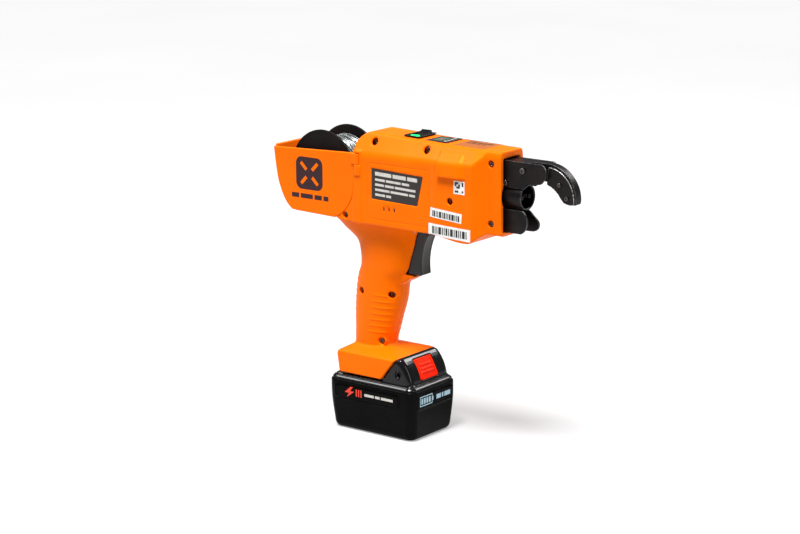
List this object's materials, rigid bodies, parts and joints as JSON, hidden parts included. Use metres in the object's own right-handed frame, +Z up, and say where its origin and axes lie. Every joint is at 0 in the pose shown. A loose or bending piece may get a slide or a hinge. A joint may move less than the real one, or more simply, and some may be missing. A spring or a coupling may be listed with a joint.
{
  "type": "cordless rebar tying tool",
  "caption": "Pistol-grip cordless rebar tying tool with a wire reel bay behind, a curled tying jaw in front and a slide-on battery as its base.",
  "frame": {"origin": "centre of the battery's flat underside, on which the tool stands", "axes": "+X points to the tying jaw, +Y to the tool's left, +Z up"},
  "size_m": [0.3407, 0.069, 0.3018],
  "materials": {
    "orange_plastic": "moulded orange plastic, semi-matte",
    "black_plastic": "moulded black plastic, matte",
    "gloss_black_plastic": "polished black plastic",
    "red_plastic": "red plastic",
    "black_steel": "black-oxide steel, worn at the edges",
    "screw_steel": "dark zinc screws",
    "bright_steel": "ground steel",
    "galvanised_wire": "galvanised wire",
    "brass": "brass",
    "board_green": "circuit board",
    "cell_blue": "shrink sleeve on the cells",
    "panel_grey": "printed membrane panel"
  },
  "bodies": {
    "tool": {"housing_right": "orange_plastic", "housing_left": "orange_plastic", "reel_spindle": "black_plastic", "door_hinge_pin": "bright_steel", "switch_bezel": "black_plastic", "mode_panel": "panel_grey", "control_board": "board_green", "trigger_switch": "black_plastic", "trigger_pin": "bright_steel", "trigger_spring": "bright_steel", "feed_motor": "bright_steel", "feed_bracket": "black_steel", "twist_motor": "bright_steel", "gearbox_case": "black_steel", "spindle_bearing": "bright_steel", "twister_tube": "black_steel", "jaw_block": "black_steel", "guide_plate_right": "black_steel", "guide_plate_left": "black_steel", "curl_arm": "black_steel", "curl_plate_right": "black_steel", "curl_plate_left": "black_steel", "jaw_screw_upper": "screw_steel", "jaw_screw_lower": "screw_steel", "curl_screw_upper": "screw_steel", "curl_screw_lower": "screw_steel", "lower_guide_right": "black_steel", "lower_guide_left": "black_steel", "tie_wire": "galvanised_wire", "terminal_block": "black_plastic", "nose_screw_upper": "screw_steel", "nose_screw_lower": "screw_steel", "side_screw": "screw_steel", "heel_screw": "screw_steel", "crest_screw_rear": "screw_steel", "crest_screw_front": "screw_steel", "grip_screw_rear": "screw_steel", "grip_screw_front": "screw_steel", "grip_screw_lower": "screw_steel"},
    "door": {"spool_door": "orange_plastic"},
    "reel": {"wire_reel": "black_plastic", "wire_coil": "galvanised_wire"},
    "trigger": {"trigger": "black_plastic"},
    "rocker": {"power_rocker": "gloss_black_plastic"},
    "feed_lower": {"feed_wheel_lower": "brass"},
    "feed_upper": {"feed_wheel_upper": "brass"},
    "feed_pinion": {"feed_pinion": "brass"},
    "twister": {"twist_shaft": "bright_steel"},
    "sleeve": {"twist_sleeve": "black_steel"},
    "hook_right": {"hook_right": "bright_steel"},
    "hook_left": {"hook_left": "bright_steel"},
    "cutter": {"cutter_lever": "bright_steel"},
    "battery": {"battery_case": "black_plastic", "battery_cover": "gloss_black_plastic", "cell_1": "cell_blue", "cell_2": "cell_blue", "cell_3": "cell_blue", "protection_board": "board_green", "release_spring": "bright_steel"},
    "release": {"release_button": "red_plastic"}
  },
  "joints": [
    {"name": "door_swing", "type": "hinge", "parent": "tool", "child": "door", "pos_m": [-0.0175, -0.0292, 0.268], "axis": [0, 0, 1], "range_deg": [0, 110]},
    {"name": "reel_spin", "type": "hinge", "parent": "tool", "child": "reel", "pos_m": [-0.0676, 0, 0.2563], "axis": [0, 1, 0], "continuous": true},
    {"name": "trigger_pull", "type": "hinge", "parent": "tool", "child": "trigger", "pos_m": [0.038, 0, 0.2055], "axis": [0, 1, 0], "range_deg": [0, 8], "stiffness_Nm_per_rad": 0.8, "springref_deg": -5.73, "deforming": ["trigger_spring"]},
    {"name": "rocker_tip", "type": "hinge", "parent": "tool", "child": "rocker", "pos_m": [0.03735, 0, 0.2955], "axis": [-1, 0, 0], "range_deg": [0, 18]},
    {"name": "feed_lower_spin", "type": "hinge", "parent": "tool", "child": "feed_lower", "pos_m": [0.088, 0, 0.2727], "axis": [0, 1, 0], "continuous": true},
    {"name": "feed_upper_spin", "type": "hinge", "parent": "tool", "child": "feed_upper", "pos_m": [0.088, 0, 0.2853], "axis": [0, 1, 0], "continuous": true},
    {"name": "feed_pinion_spin", "type": "hinge", "parent": "tool", "child": "feed_pinion", "pos_m": [0.0782, 0, 0.2727], "axis": [0, 1, 0], "continuous": true},
    {"name": "twist_spin", "type": "hinge", "parent": "tool", "child": "twister", "pos_m": [0.1, 0, 0.2522], "axis": [1, 0, 0], "continuous": true},
    {"name": "sleeve_slide", "type": "slide", "parent": "twister", "child": "sleeve", "axis": [1, 0, 0], "range_m": [0, 0.006]},
    {"name": "hook_right_pinch", "type": "hinge", "parent": "twister", "child": "hook_right", "pos_m": [0.146, -0.0034, 0.2522], "axis": [0, 0, 1], "range_deg": [0, 16]},
    {"name": "hook_left_pinch", "type": "hinge", "parent": "twister", "child": "hook_left", "pos_m": [0.146, 0.0034, 0.2522], "axis": [0, 0, 1], "range_deg": [-16, 0]},
    {"name": "cutter_swing", "type": "hinge", "parent": "tool", "child": "cutter", "pos_m": [0.1518, 0.005, 0.269], "axis": [1, 0, 0], "range_deg": [0, 20]},
    {"name": "battery_slide", "type": "slide", "parent": "tool", "child": "battery", "axis": [1, 0, 0], "range_m": [0, 0.1]},
    {"name": "release_push", "type": "slide", "parent": "battery", "child": "release", "axis": [-0.8831, 0, -0.4692], "range_m": [0, 0.003], "stiffness_N_per_m": 900, "springref_m": -0.001, "deforming": ["release_spring"]}
  ],
  "couplings": [
    {"joint": "feed_upper_spin", "follows": "feed_lower_spin", "ratio": -1},
    {"joint": "feed_pinion_spin", "follows": "feed_lower_spin", "ratio": -1.8},
    {"joint": "hook_right_pinch", "follows": "sleeve_slide", "rad_per_m": 46},
    {"joint": "hook_left_pinch", "follows": "sleeve_slide", "rad_per_m": -46},
    {"joint": "cutter_swing", "follows": "sleeve_slide", "rad_per_m": 58}
  ]
}
